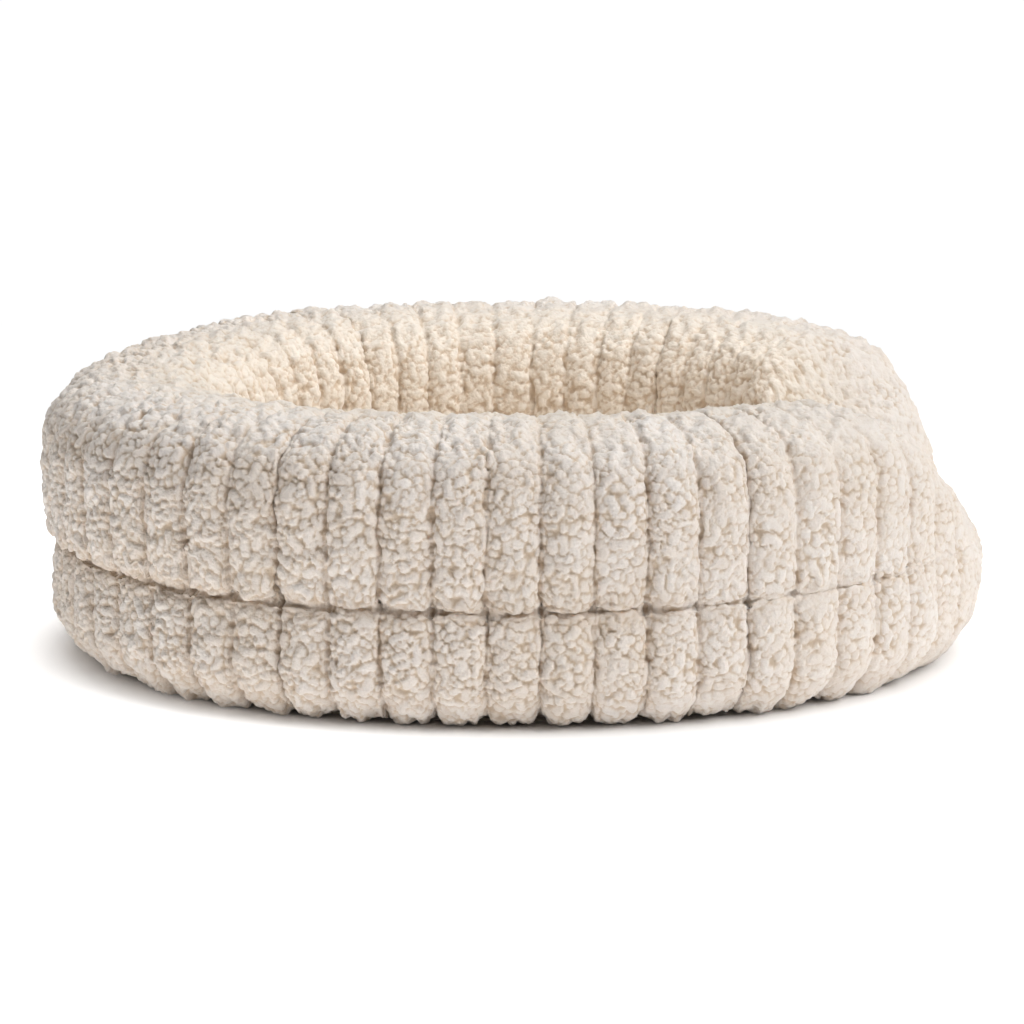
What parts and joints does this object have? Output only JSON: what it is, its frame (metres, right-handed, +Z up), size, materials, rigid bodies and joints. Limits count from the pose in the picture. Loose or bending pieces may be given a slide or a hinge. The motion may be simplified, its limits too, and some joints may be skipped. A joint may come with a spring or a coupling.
{
  "type": "bolster pet bed",
  "caption": "Oval bolster pet bed in ribbed, curly cream pile: a thick two-roll wall with a low entrance round a seat cushion.",
  "frame": {"origin": "middle of the bed's footprint, on the floor", "axes": "+X along the bed's longer side, towards its low entrance; +Y towards the back, away from the picture's camera; +Z up"},
  "size_m": [0.6301, 0.5302, 0.196],
  "materials": {
    "curly_pile": "thick curly cream pile",
    "cushion_pile": "curly cream pile",
    "bottom_cloth": "plain woven cloth"
  },
  "bodies": {
    "root": {"bolster_wall": "curly_pile", "seat_cushion": "cushion_pile", "base_cloth": "bottom_cloth"}
  },
  "joints": []
}
